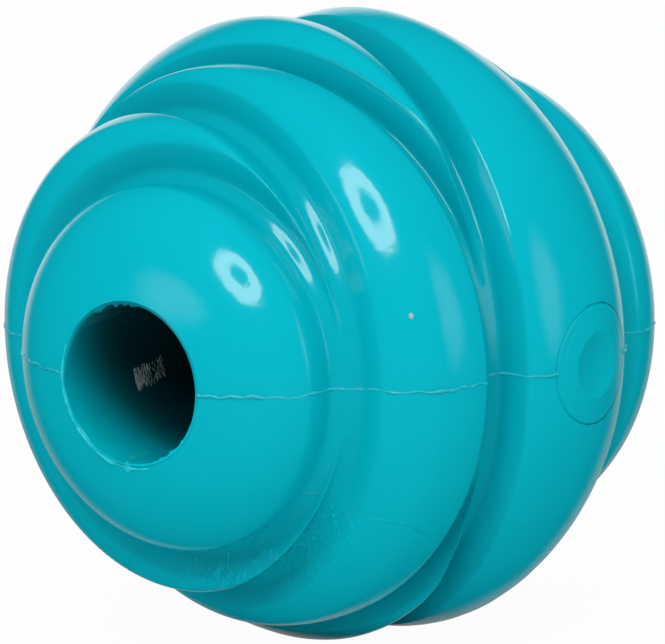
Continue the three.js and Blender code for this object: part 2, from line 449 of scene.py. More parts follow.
@dataclass(frozen=True)
class RubberFinish:
    """Glossy moulded rubber with faint flow clouds and a fine orange-peel skin, in metres.

    It may have painted shade inside the bore, wrinkles in round patches whose crests are lightened as a
    painted highlight, and painted shade in hollows that are narrower than its painted groove shade reach.
    """

    name: str
    colour: Colour
    cloud_colour: Colour
    painted_bore_shade_colour: Colour | None = None
    painted_bore_shade_from: float = 0.0408
    painted_bore_shade_to: float = 0.0231
    painted_bore_shade_slant: float = 0.55
    roughness: Span = (0.08, 0.12)
    cloud_scale: float = 90.0
    peel_scale: float = 800.0
    peel_height: float = 0.000018
    wrinkles: tuple[WrinklePatch, ...] = ()
    wrinkle_scale: float = 1400.0
    wrinkle_stretch: tuple[float, float, float] = (1.0, 1.0, 0.45)
    wrinkle_turn: float = 25.0
    wrinkle_bend: float = 1.6
    wrinkle_crest: Span = (0.5, 0.72)
    wrinkle_height: float = 0.00011
    wrinkle_painted_highlight_gain: float = 0.3
    patch_core: float = 0.4
    painted_groove_shade_reach: float = 0.0
    painted_groove_shade_tone: float = 0.7
    painted_groove_shade_shut: float = 0.3

    def with_painted_bore_shade(self, kit: NodeKit, place: Socket, colour: Socket) -> Socket:
        """Paints shade into the colour towards the middle and the top of the bore, where the finish has a
        shade colour.

        Args:
            kit: The material's nodes.
            place: Object coordinates.
            colour: Colour near the mouths.

        Returns:
            The colour to use.
        """
        if self.painted_bore_shade_colour is None:
            return colour
        # Painted shade: the colour darkens deeper in the bore and towards its top.
        along = kit.add("SeparateXYZ", place).outputs
        from_middle = kit.number("ABSOLUTE", along["Y"])
        slanted = kit.number("MULTIPLY_ADD", along["Z"], -self.painted_bore_shade_slant, from_middle)
        share = kit.ranged(slanted, self.painted_bore_shade_from, self.painted_bore_shade_to, easing="SMOOTHERSTEP")
        return kit.mixed(share, colour, opaque(self.painted_bore_shade_colour))

    def with_painted_groove_shade(self, kit: NodeKit, colour: Socket) -> Socket:
        """Paints shade from ambient occlusion into hollows within the finish's reach.

        Args:
            kit: The material's nodes.
            colour: Colour on the open skin.

        Returns:
            The colour to use.
        """
        if not self.painted_groove_shade_reach:
            return colour
        # Painted shade: ambient occlusion darkens the colour in the grooves.
        open_share = kit.add("AmbientOcclusion", Distance=self.painted_groove_shade_reach).outputs["AO"]
        tone = kit.ranged(open_share, self.painted_groove_shade_shut, 1.0, self.painted_groove_shade_tone, easing="LINEAR")
        return kit.scaled(colour, tone)

    def folds(self, kit: NodeKit, place: Socket) -> Socket:
        """Height of the flow wrinkles, from 0 to 1, inside the finish's patches.

        Args:
            kit: The material's nodes.
            place: Object coordinates.

        Returns:
            Output with the height.
        """
        turn = (0.0, math.radians(self.wrinkle_turn), 0.0)
        stretch = kit.add("Mapping", Vector=place, Scale=self.wrinkle_stretch, Rotation=turn)
        stretched = stretch.outputs["Vector"]
        crest = kit.noise(stretched, self.wrinkle_scale, Detail=1.0, Distortion=self.wrinkle_bend)
        share: object = 0.0
        for patch in self.wrinkles:
            away = kit.add("VectorMath", place, patch.centre, operation="DISTANCE").outputs["Value"]
            near = kit.ranged(away, patch.radius, self.patch_core * patch.radius)
            share = kit.number("MAXIMUM", share, near)
        return kit.number("MULTIPLY", kit.ranged(crest, *self.wrinkle_crest), share)

    def material(self) -> bpy.types.Material:
        """Builds the material's node tree.

        Returns:
            The new material.
        """
        material, kit, shader, place = start_material(self.name)
        clouds = kit.noise(place, self.cloud_scale, Detail=3.0, Roughness=0.55)
        peel = kit.noise(place, self.peel_scale, Detail=2.0, Roughness=0.5)
        normal = kit.add("Bump", Strength=1.0, Distance=self.peel_height, Height=peel).outputs["Normal"]
        colour = kit.mixed(clouds, opaque(self.colour), opaque(self.cloud_colour))
        colour = self.with_painted_groove_shade(kit, self.with_painted_bore_shade(kit, place, colour))
        if self.wrinkles:
            height = self.folds(kit, place)
            # Painted highlight: the wrinkle crests are made lighter in colour.
            colour = kit.scaled(colour, kit.number("MULTIPLY_ADD", height, self.wrinkle_painted_highlight_gain, 1.0))
            bump = kit.add("Bump", Strength=1.0, Distance=self.wrinkle_height, Height=height, Normal=normal)
            normal = bump.outputs["Normal"]
        kit.give(shader.inputs["Base Color"], colour)
        kit.give(shader.inputs["Roughness"], kit.ranged(clouds, 0.0, 1.0, *self.roughness, easing="LINEAR"))
        kit.give(shader.inputs["Normal"], normal)
        return material


@dataclass(frozen=True)
class FoamFinish:
    """Matte closed-cell foam with small round cells."""

    name: str = "pale_foam"
    colour: Colour = (0.80, 0.84, 0.82)
    cell_colour: Colour = (0.62, 0.67, 0.65)
    cell_scale: float = 900.0
    cell_depth: float = 0.0002
    roughness: float = 0.9

    def material(self) -> bpy.types.Material:
        """Builds the material's node tree.

        Returns:
            The new material.
        """
        material, kit, shader, place = start_material(self.name)
        cells = kit.add("TexVoronoi", Vector=place, Scale=self.cell_scale).outputs["Distance"]
        ramp = kit.add("ValToRGB", cells)
        for stop, colour in zip(ramp.color_ramp.elements, (self.cell_colour, self.colour)):
            stop.color = opaque(colour)
        bump = kit.add("Bump", Strength=0.6, Distance=self.cell_depth, Height=cells)
        kit.give(shader.inputs["Base Color"], ramp.outputs["Color"])
        kit.give(shader.inputs["Roughness"], self.roughness)
        kit.give(shader.inputs["Normal"], bump.outputs["Normal"])
        return material


def without_spares(draft: MeshDraft) -> MeshDraft:
    """Drops points that no face uses.

    Args:
        draft: Any draft.

    Returns:
        The same faces over only the points that they use.
    """
    used = np.unique(np.concatenate([np.asarray(face) for face in draft.faces]))
    renumber = np.full(len(draft.points), -1)
    renumber[used] = np.arange(len(used))
    faces = [tuple(int(renumber[corner]) for corner in face) for face in draft.faces]
    return MeshDraft(draft.points[used], faces)


def grid_faces(index: np.ndarray, rows: int, columns: int) -> list[tuple[int, ...]]:
    """Faces between neighbours in a grid of point numbers, where the last step may lead back to the first.

    Args:
        index: Point numbers, which repeat where points have run together.
        rows: Steps from row to row.
        columns: Steps from column to column.

    Returns:
        Faces of at least three corners.
    """
    faces = []
    for row in range(rows):
        ahead = (row + 1) % index.shape[0]
        for column in range(columns):
            after = (column + 1) % index.shape[1]
            corners = (index[row, column], index[ahead, column], index[ahead, after], index[row, after])
            faces.append(tuple(dict.fromkeys(int(corner) for corner in corners)))
    return [face for face in faces if len(face) > 2]


def end_caps(ring: int, total: int) -> list[tuple[int, ...]]:
    """Faces over the first and the last of some rings with as many points each."""
    return [tuple(range(ring))[::-1], tuple(range(total - ring, total))]


def lathe(profile: np.ndarray, sides: int, closed: bool) -> MeshDraft:
    """Turns a profile about Y.

    Args:
        profile: Radius and Y of each point, in millimetres.
        sides: Points round the axis.
        closed: Whether the last point joins the first.

    Returns:
        Points, row by row, and faces.
    """
    angle = np.linspace(0.0, 2.0 * math.pi, sides, endpoint=False)
    points = profile[:, None, :1] * bore_ways(angle) + profile[:, None, 1:] * ALONG_BORE
    rows = len(profile)
    index = np.arange(rows * sides).reshape(rows, sides)
    return MeshDraft(points.reshape(-1, 3), grid_faces(index, rows if closed else rows - 1, sides))


def ridge(line: np.ndarray, normal: np.ndarray, half_width: np.ndarray, rise: np.ndarray,
          sunk: float) -> MeshDraft:
    """Low rounded ridge along a line on a surface.

    Args:
        line: Points on the surface in millimetres, one row each.
        normal: Unit normals of the surface there.
        half_width: Half of the ridge's width at each point.
        rise: Its height at each point.
        sunk: How far its foot lies under the surface.

    Returns:
        Points and faces of the closed ridge.
    """
    across = unit(np.cross(normal, np.gradient(line, axis=0)))
    outline = [(-1.0, -1.0), (-1.0, 0.0), (-0.6, 0.75), (0.0, 1.0), (0.6, 0.75), (1.0, 0.0), (1.0, -1.0)]
    rings = []
    for sideways, up in outline:
        lift = np.where(up < 0.0, -sunk, rise * up)
        rings.append(line + across * (half_width * sideways)[:, None] + normal * lift[:, None])
    points = np.stack(rings, axis=1).reshape(-1, 3)
    size = len(outline)
    faces = []
    for row in range(len(line) - 1):
        here, ahead = row * size, (row + 1) * size
        for corner in range(size):
            after = (corner + 1) % size
            faces.append((here + corner, here + after, ahead + after, ahead + corner))
    faces += end_caps(size, len(points))
    return MeshDraft(points, faces)


def joined(drafts: list[MeshDraft]) -> MeshDraft:
    """Several drafts as one.

    Args:
        drafts: Drafts to join, left apart from each other.

    Returns:
        One draft with all points and faces.
    """
    faces = []
    start = 0
    for draft in drafts:
        faces += [tuple(start + corner for corner in face) for face in draft.faces]
        start += len(draft.points)
    return MeshDraft(np.concatenate([draft.points for draft in drafts]), faces)


def waves(noise: np.random.Generator, count: int, size: int) -> np.ndarray:
    """Random values of about unit size, smoothed over a number of points."""
    smooth = np.hanning(size)
    return np.convolve(noise.normal(size=count + size - 1), smooth / math.sqrt((smooth**2).sum()), "valid")


@dataclass(frozen=True)
class Taper:
    """How a ridge thins out at its ends: angle at which its sine starts, in radians, and the sine's power."""

    start: float
    power: float

    def shares(self, count: int) -> np.ndarray:
        """Shares of the full size at evenly spaced points."""
        return np.sin(np.linspace(self.start, math.pi - self.start, count)) ** self.power


@dataclass(frozen=True)
class Uneven:
    """Share that swings about a middle and stays between a least and a most."""

    middle: float
    swing: float
    least: float
    most: float

    def shares(self, wave: np.ndarray, ripple: np.ndarray | float = 0.0) -> np.ndarray:
        """Shares for a wave of about unit size, with a ripple on top."""
        return np.clip(self.middle + self.swing * wave + ripple, self.least, self.most)


def window(angle: np.ndarray, span: Span, edge: float = 6.0) -> np.ndarray:
    """1 between two angles, eased to 0 outside them.

    Args:
        angle: Angles in degrees from 0 to 360.
        span: Where the window starts and ends, in degrees.
        edge: Length of the easing in degrees.

    Returns:
        Shares from 0 to 1.
    """
    middle, half = (span[0] + span[1]) / 2.0, (span[1] - span[0]) / 2.0
    away = np.abs((angle - middle + 180.0) % 360.0 - 180.0)
    return 1.0 - smoothstep(away, half - edge / 2.0, half + edge / 2.0)


@dataclass
class ShellHalf:
    """One half of the grooved shell, closed round its cavity, with half of the plug's seat."""

    shape: BallShape
    side: Side
    columns: int = 200
    cap_rows: int = 40
    band_rows: int = 20
    cavity_rows: int = 24
    seam_gap: float = 0.02
    edge_share: float = 0.6
    inner_crowding: float = 1.5
    outer_crowding: float = 1.7
    seat_radius: float = 6.34
    seat_sides: int = 160
    seat_base: float = 31.5
    seat_clearance: float = 1.0
    on_skin: float = 0.02

    def spread(self, width: np.ndarray, edge: float, rows: int) -> np.ndarray:
        """Rows from a groove's centre line outward, closest together at the groove's corner.

        Args:
            width: Angle covered on each meridian, in radians.
            edge: Half width of the groove, in radians.
            rows: Number of steps.

        Returns:
            Angles from the centre line, one row per step.
        """
        near = np.minimum(edge, self.edge_share * width)
        step = np.linspace(0.0, 1.0, rows + 1)[:, None]
        inner = np.clip(1.0 - step / self.edge_share, 0.0, 1.0) ** self.inner_crowding
        outer = np.clip((step - self.edge_share) / (1.0 - self.edge_share), 0.0, 1.0) ** self.outer_crowding
        return near * (1.0 - inner) + (width - near) * outer

    def row_numbers(self, start: int, count: int) -> np.ndarray:
        """Numbers of rows from a start, one for each column."""
        return np.arange(start, start + count)[:, None].repeat(self.columns + 1, axis=1)

    def skin_rows(self, azimuth: np.ndarray) -> tuple[np.ndarray, np.ndarray]:
        """Polar angles of the skin's rows and which rows have run together.

        Args:
            azimuth: Meridians in radians.

        Returns:
            Polar angles, one row each, and the row that each row's point stands on.
        """
        crossings = self.shape.crossings(azimuth)
        edges = self.shape.circles()[2] / self.shape.crown
        floors = edges * self.shape.floor_share
        front_mouth = self.shape.mouth_angle(azimuth)
        rear_mouth = math.pi - self.shape.mouth_angle(math.pi - azimuth)
        angles = [crossings[0] - self.spread(crossings[0] - front_mouth, edges[0], self.cap_rows)[::-1]]
        total = self.cap_rows + 1
        owners = [self.row_numbers(0, total)]
        for groove, start in enumerate(crossings[:-1]):
            half = (crossings[groove + 1] - start) / 2.0
            ahead = start + self.spread(half, edges[groove], self.band_rows)
            back = crossings[groove + 1] - self.spread(half, edges[groove + 1], self.band_rows)[::-1]
            band = np.concatenate([ahead[1:], back[1:]])
            rows = self.row_numbers(total, len(band))
            gone = half < np.minimum(floors[groove], floors[groove + 1])
            band[:, gone] = (start + half)[gone]
            rows[:, gone] = owners[-1][-1, gone]
            angles[-1][-1, gone] = (start + half)[gone]
            angles.append(band)
            owners.append(rows)
            total += len(band)
        angles.append(crossings[-1] + self.spread(rear_mouth - crossings[-1], edges[-1], self.cap_rows)[1:])
        owners.append(self.row_numbers(total, self.cap_rows))
        return np.concatenate(angles), np.concatenate(owners)

    def inner_line(self) -> np.ndarray:
        """Rear mouth seat, cavity and front mouth seat as radius and Y in the meridian plane."""
        end = math.sqrt(self.shape.cavity**2 - self.shape.channel**2)
        start = math.atan2(end, self.shape.channel)
        angle = np.linspace(start, -start, self.cavity_rows + 1)
        arc = np.stack([np.cos(angle), np.sin(angle)], axis=-1) * self.shape.cavity
        return np.concatenate([[(self.shape.mouth, end)], arc, [(self.shape.mouth, -end)]])

    def draft(self) -> MeshDraft:
        """Closed half shell with its seam faces.

        Returns:
            Points and faces of the half.
        """
        azimuth = np.linspace(0.0, math.pi, self.columns + 1)
        polar, owners = self.skin_rows(azimuth)
        skin = self.shape.on_skin(directions(polar, azimuth[None, :]))
        inner = self.inner_line()
        inside = inner[:, None, :1] * bore_ways(azimuth) + inner[:, None, 1:] * ALONG_BORE
        grid = np.concatenate([skin, inside])
        index = np.concatenate([owners, self.row_numbers(len(skin), len(inside))])
        index = index * len(azimuth) + np.arange(len(azimuth))
        faces = grid_faces(index, len(grid), self.columns)
        first, last = (list(dict.fromkeys(int(corner) for corner in index[:, end])) for end in (0, -1))
        faces += [tuple(first[::-1]), tuple(last)]
        points = grid.reshape(-1, 3) + np.array([0.0, 0.0, self.seam_gap / 2.0])
        points[:, 2] *= self.side.value
        if self.side is Side.UPPER:
            faces = [face[::-1] for face in faces]
        return without_spares(MeshDraft(points, faces))

    def seat(self) -> bpy.types.Object:
        """Round cutter that makes the plug's seat.

        Returns:
            A closed cylinder along X.
        """
        angle = np.linspace(0.0, 2.0 * math.pi, self.seat_sides, endpoint=False)
        ring = np.stack([np.zeros_like(angle), np.cos(angle), np.sin(angle)], axis=-1) * self.seat_radius
        top = self.shape.crown + self.seat_clearance
        ends = [ring + [depth, 0.0, 0.0] for depth in (self.seat_base, top)]
        count = self.seat_sides
        pairs = [(side, (side + 1) % count) for side in range(count)]
        faces = [(side, after, count + after, count + side) for side, after in pairs]
        faces += end_caps(count, 2 * count)
        return MeshDraft(np.concatenate(ends), faces).piece("seat_cutter")

    def cut(self, piece: bpy.types.Object) -> None:
        """Cuts the plug's seat into the half and applies the cut.

        Args:
            piece: The half shell.
        """
        cutter = self.seat()
        modifier = piece.modifiers.new("seat", "BOOLEAN")
        modifier.operation = "DIFFERENCE"
        modifier.solver = "EXACT"
        modifier.object = cutter
        cut_mesh = bpy.data.meshes.new_from_object(piece.evaluated_get(bpy.context.evaluated_depsgraph_get()))
        piece.modifiers.clear()
        spares = [piece.data, cutter.data]
        piece.data = cut_mesh
        cut_mesh.name = piece.name
        bpy.data.objects.remove(cutter)
        for mesh in spares:
            bpy.data.meshes.remove(mesh)

    def smooth(self, piece: bpy.types.Object) -> None:
        """Gives the skin's points the true normals of its shape.

        Args:
            piece: The cut half shell.
        """
        mesh = piece.data
        mesh.shade_smooth()
        points = np.empty(len(mesh.vertices) * 3)
        mesh.vertices.foreach_get("co", points)
        points = points.reshape(-1, 3) / MM
        normals = np.array([normal.vector[:] for normal in mesh.vertex_normals])
        size = np.linalg.norm(points, axis=1)
        outer = np.abs(size - self.shape.radius(points / size[:, None])) < self.on_skin
        normals[outer] = self.shape.normals(points[outer])
        mesh.normals_split_custom_set_from_vertices(normals.tolist())

    def build(self, material: bpy.types.Material) -> None:
        """Builds and dresses the half.

        Args:
            material: Rubber of the shell.
        """
        node = f"{self.side.name.lower()}_shell"
        piece = self.draft().piece(f"dressed_{node}")
        self.cut(piece)
        self.smooth(piece)
        dress(piece, material, Slot.GLOSS, node)


@dataclass
class BoreSleeve:
    """Liner tube of the bore, whose edge at each mouth is ragged and rolls up a little on one side.

    Sizes are in millimetres, and spans round the front mouth in degrees.
    """

    shape: BallShape
    bore: float = 8.25
    lip: float = 8.5
    body: float = 9.6
    body_end: float = 24.5
    lip_height: float = 0.06
    rolled_height: float = 0.32
    rolled_span: Span = (172.0, 268.0)
    rolled_edge: float = 30.0
    rolled_inset: float = 0.10
    rolled_uneven: Uneven = Uneven(0.75, 0.35, 0.2, 1.3)
    tooth: float = 0.34
    tooth_uneven: Uneven = Uneven(0.35, 0.6, 0.0, 1.0)
    torn_span: Span = (84.0, 124.0)
    nicked_span: Span = (291.0, 323.0)
    nicked_share: float = 0.7
    wobble: float = 0.03
    wave_sizes: tuple[int, int] = (9, 31)
    sharp_angle: float = 60.0
    sides: int = 480
    wall_rows: int = 60
    lip_rows: int = 6
    seed: int = 11

    def profile(self) -> np.ndarray:
        """Section of the tube from the front lip, down the bore and back along the outside.

        Returns:
            Radius and Y of each point.
        """
        end = self.shape.mouth / math.tan(self.shape.mouth_on_seam())
        turn = np.linspace(0.0, math.pi, self.lip_rows + 1)
        middle = (self.bore + self.lip) / 2.0
        half = (self.lip - self.bore) / 2.0
        front = np.stack([middle + half * np.cos(turn), -end - self.lip_height * np.sin(turn)], axis=-1)
        wall = np.linspace(-end, end, self.wall_rows + 1)[1:-1]
        bore = np.stack([np.full_like(wall, self.bore), wall], axis=-1)
        rear = front[::-1] * [1.0, -1.0]
        outside = [(self.lip, self.body_end), (self.body, self.body_end), (self.body, -self.body_end),
                   (self.lip, -self.body_end)]
        return np.concatenate([front, bore, rear, outside])

    def ragged(self) -> tuple[np.ndarray, np.ndarray]:
        """How far the edge stands up and reaches into the bore, round the front mouth.

        Returns:
            Rise and reach in millimetres at each side of the tube.
        """
        angle = np.linspace(0.0, 360.0, self.sides, endpoint=False)
        noise = np.random.default_rng(self.seed)
        fine, coarse = (
            np.convolve(np.tile(noise.normal(size=self.sides), 3), np.hanning(size) / math.sqrt(size), "same")
            for size in self.wave_sizes
        )
        fine, coarse = (wave[self.sides:2 * self.sides] for wave in (fine, coarse))
        rolled = window(angle, self.rolled_span, self.rolled_edge)
        torn = window(angle, self.torn_span) + self.nicked_share * window(angle, self.nicked_span)
        rise = self.rolled_height * rolled * self.rolled_uneven.shares(coarse)
        reach = self.tooth * torn * self.tooth_uneven.shares(fine) + self.wobble * np.abs(coarse)
        return rise, reach - self.rolled_inset * rolled

    def draft(self) -> MeshDraft:
        """Tube with its ragged edges, the rear one after half a turn about Z.

        Returns:
            Points and faces of the sleeve.
        """
        profile = self.profile()
        tube = lathe(profile, self.sides, True)
        rows = tube.points.reshape(len(profile), self.sides, 3)
        rise, reach = self.ragged()
        turned = (self.sides // 2 - np.arange(self.sides)) % self.sides
        last = 2 * self.lip_rows + self.wall_rows
        for step, share in enumerate(np.linspace(0.0, 1.0, self.lip_rows + 1)):
            up = math.sin(math.pi * share)
            for row, end, order in ((step, -1.0, slice(None)), (last - step, 1.0, turned)):
                ring = rows[row]
                out = np.hypot(ring[:, 0], ring[:, 2])
                ring[:, [0, 2]] *= (1.0 - share * reach[order] / out)[:, None]
                ring[:, 1] += end * up * rise[order]
        return MeshDraft(rows.reshape(-1, 3), tube.faces)

    def build(self, material: bpy.types.Material) -> None:
        """Builds and dresses the sleeve.

        Args:
            material: Rubber of the bore.
        """
        piece = self.draft().piece("dressed_bore_sleeve")
        piece.data.set_sharp_from_angle(angle=math.radians(self.sharp_angle))
        dress(piece, material, Slot.BORE, "bore_sleeve")


@dataclass
class BorePaintedReflectionAndScratches:
    """Pale strokes on the bore's wall that paint a reflection, and three scratches, in millimetres and
    degrees.
    """

    bore: float = 8.25
    strokes: int = 170
    stroke_points: int = 8
    first: float = -23.4
    last: float = -18.4
    crowding: float = 1.8
    middle: float = 199.0
    slant: float = 4.0
    half_span: float = 9.0
    start_shares: Span = (-1.0, 0.6)
    length_shares: Span = (0.2, 0.6)
    tilts: Span = (-0.1, 0.2)
    half_width: float = 0.06
    width_shares: Span = (0.5, 1.3)
    rise: float = 0.025
    ends: Taper = Taper(0.12, 0.5)
    scratch_width: float = 0.06
    scratches: tuple[tuple[Span, Span], ...] = (
        ((-30.1, -27.9), (221.0, 232.0)),
        ((-28.9, -28.2), (203.0, 214.0)),
        ((-29.6, -28.4), (214.0, 216.0)),
    )
    seed: int = 3

    def stroke(self, along: Span, around: Span, half_width: float) -> MeshDraft:
        """One stroke on the wall.

        Args:
            along: Y of its ends in millimetres.
            around: Angles of its ends in degrees.
            half_width: Half of its width in millimetres.

        Returns:
            The stroke's ridge.
        """
        inward = -bore_ways(np.radians(np.linspace(*around, self.stroke_points)))
        line = -inward * self.bore + np.linspace(*along, self.stroke_points)[:, None] * ALONG_BORE
        thin = self.ends.shares(self.stroke_points)
        return ridge(line, inward, half_width * thin, self.rise * thin, self.rise)

    def build(self, painted_reflection: bpy.types.Material, rubber: bpy.types.Material) -> None:
        """Builds and dresses the marks.

        Args:
            painted_reflection: Pale material of the streak, a painted reflection.
            rubber: Rubber of the scratches.
        """
        noise = np.random.default_rng(self.seed)
        strokes = []
        for _ in range(self.strokes):
            share = noise.uniform() ** self.crowding
            place = self.first + (self.last - self.first) * share
            start = self.middle - self.slant * share + self.half_span * noise.uniform(*self.start_shares)
            end = start + self.half_span * noise.uniform(*self.length_shares)
            along = (place, place + noise.uniform(*self.tilts))
            half_width = self.half_width * noise.uniform(*self.width_shares)
            strokes.append(self.stroke(along, (start, end), half_width))
        # The pale streak paints a reflection on the bore's wall.
        dress(joined(strokes).piece("bore_painted_reflection"), painted_reflection, Slot.BORE)
        lines = [self.stroke(along, around, self.scratch_width) for along, around in self.scratches]
        dress(joined(lines).piece("bore_scratches"), rubber, Slot.BORE)


@dataclass
class VentPlug:
    """Round plug on the seam: a face flush with the band, fine turned steps and a dished middle, in mm."""

    shape: BallShape
    head: float = 6.3
    dish: float = 3.5
    dish_depth: float = 0.7
    head_base: float = 31.9
    stem: float = 2.5
    stem_end: float = 26.7
    sides: int = 160
    face_rows: int = 36
    dish_rows: int = 16
    middle: float = 0.05
    steps: tuple[float, ...] = (5.45, 4.6, 4.0)
    step_height: float = 0.02
    step_width: float = 0.12
    rim_drop: float = 0.12
    rim_width: float = 0.15
    sharp_angle: float = 40.0
    passes: int = 8

    def face_height(self, across: np.ndarray, up: np.ndarray) -> np.ndarray:
        """Distance of the plug's face from the ball's centre plane.

        Args:
            across: Y of the points in millimetres.
            up: Z of the points in millimetres.

        Returns:
            X of the face.
        """
        height = np.full_like(across, self.shape.crown)
        for _ in range(self.passes):
            ways = unit(np.stack([height, across, up], axis=-1))
            height = np.sqrt(self.shape.radius(ways) ** 2 - across**2 - up**2)
        out = np.hypot(across, up)
        share = np.clip(out / self.dish, 0.0, 1.0)
        height = height - self.dish_depth * (1.0 - share**2)
        for step in self.steps:
            height = height - self.step_height * np.exp(-((out - step) / self.step_width) ** 2)
        return height - self.rim_drop * smoothstep(out, self.head - self.rim_width, self.head)

    def draft(self) -> MeshDraft:
        """Turned plug with its face laid on the skin's shape.

        Returns:
            Points and faces of the plug.
        """
        face_rings = np.linspace(self.head, self.dish, self.face_rows)
        dish_rings = np.linspace(self.dish, self.middle, self.dish_rows)[1:]
        rings = np.concatenate([face_rings, dish_rings])
        body = [(self.stem, self.stem_end), (self.stem, self.head_base), (self.head, self.head_base)]
        profile = np.concatenate([body, np.stack([rings, np.full_like(rings, self.shape.crown)], axis=-1)])
        turned = lathe(profile, self.sides, False)
        points = turned.points[:, [1, 0, 2]]
        face = len(body) * self.sides
        points[face:, 0] = self.face_height(points[face:, 1], points[face:, 2])
        return MeshDraft(points, turned.faces + end_caps(self.sides, len(points)))

    def build(self, material: bpy.types.Material) -> None:
        """Builds and dresses the plug.

        Args:
            material: Rubber of the shell.
        """
        piece = self.draft().piece("dressed_vent_plug")
        piece.data.set_sharp_from_angle(angle=math.radians(self.sharp_angle))
        dress(piece, material, Slot.GLOSS, "vent_plug")


@dataclass
class SeamFlash:
    """Thin broken line of squeezed-out rubber along the seam, in millimetres and degrees."""

    shape: BallShape
    half_width: float = 0.15
    width_uneven: Uneven = Uneven(0.9, 0.3, 0.5, 1.6)
    height: float = 0.17
    height_uneven: Uneven = Uneven(0.55, 0.35, 0.0, 1.5)
    height_ripple: float = 0.3
    wave_sizes: tuple[int, int, int] = (81, 11, 25)
    sunk: float = 0.12
    wander: float = 0.09
    spacing: float = 0.1
    plug_angle: float = 10.4
    seed: int = 5

    def build_strip(self, node: str, azimuth: float, span: Span, material: bpy.types.Material) -> None:
        """Builds and dresses one strip.

        Args:
            node: CAD node of the bond film that the strip stands for.
            azimuth: Meridian of the strip, 0 or half a turn.
            span: First and last polar angle in radians.
            material: Rubber of the flash.
        """
        count = int((span[1] - span[0]) * self.shape.crown / self.spacing)
        polar = np.linspace(*span, count)
        noise = np.random.default_rng(self.seed + len(node))
        slow, quick, sideways = (waves(noise, count, size) for size in self.wave_sizes)
        offset = np.clip(self.wander * sideways, -2.0 * self.wander, 2.0 * self.wander)
        line = self.shape.on_skin(directions(polar, azimuth + offset / (self.shape.crown * np.sin(polar))))
        rise = self.height * self.height_uneven.shares(slow, self.height_ripple * quick)
        half_width = self.half_width * self.width_uneven.shares(quick)
        draft = ridge(line, self.shape.normals(line), half_width, rise, self.sunk)
        dress(draft.piece(f"dressed_{node}"), material, Slot.BOND, node)

    def build(self, material: bpy.types.Material) -> None:
        """Builds the three strips.

        Args:
            material: Rubber of the flash.
        """
        start = self.shape.mouth_on_seam()
        plug = math.radians(self.plug_angle)
        self.build_strip("seam_bond_left", math.pi, (start, math.pi - start), material)
        self.build_strip("seam_bond_right_front", 0.0, (start, math.pi / 2.0 - plug), material)
        self.build_strip("seam_bond_right_rear", 0.0, (math.pi / 2.0 + plug, math.pi - start), material)


@dataclass(frozen=True)
class SkinMark:
    """Line on the skin through polar and azimuth angles in degrees, with its half width and height in mm."""

    stops: tuple[Span, ...]
    half_width: float
    rise: float
    spacing: float = 0.12
    least_points: int = 6
    ends: Taper = Taper(0.1, 0.6)

    def draft(self, shape: BallShape) -> MeshDraft:
        """Tapered ridge along the line.

        Args:
            shape: The skin.

        Returns:
            Points and faces of the ridge.
        """
        stops = np.radians(np.array(self.stops))
        corners = directions(stops[:, 0], stops[:, 1]) * shape.crown
        reach = np.concatenate([[0.0], np.cumsum(np.linalg.norm(np.diff(corners, axis=0), axis=1))])
        count = max(self.least_points, int(reach[-1] / self.spacing))
        at = np.linspace(0.0, reach[-1], count)
        ways = unit(np.stack([np.interp(at, reach, corners[:, axis]) for axis in range(3)], axis=-1))
        line = shape.on_skin(ways)
        thin = self.ends.shares(count)
        return ridge(line, shape.normals(line), self.half_width * thin, self.rise * thin, self.rise)


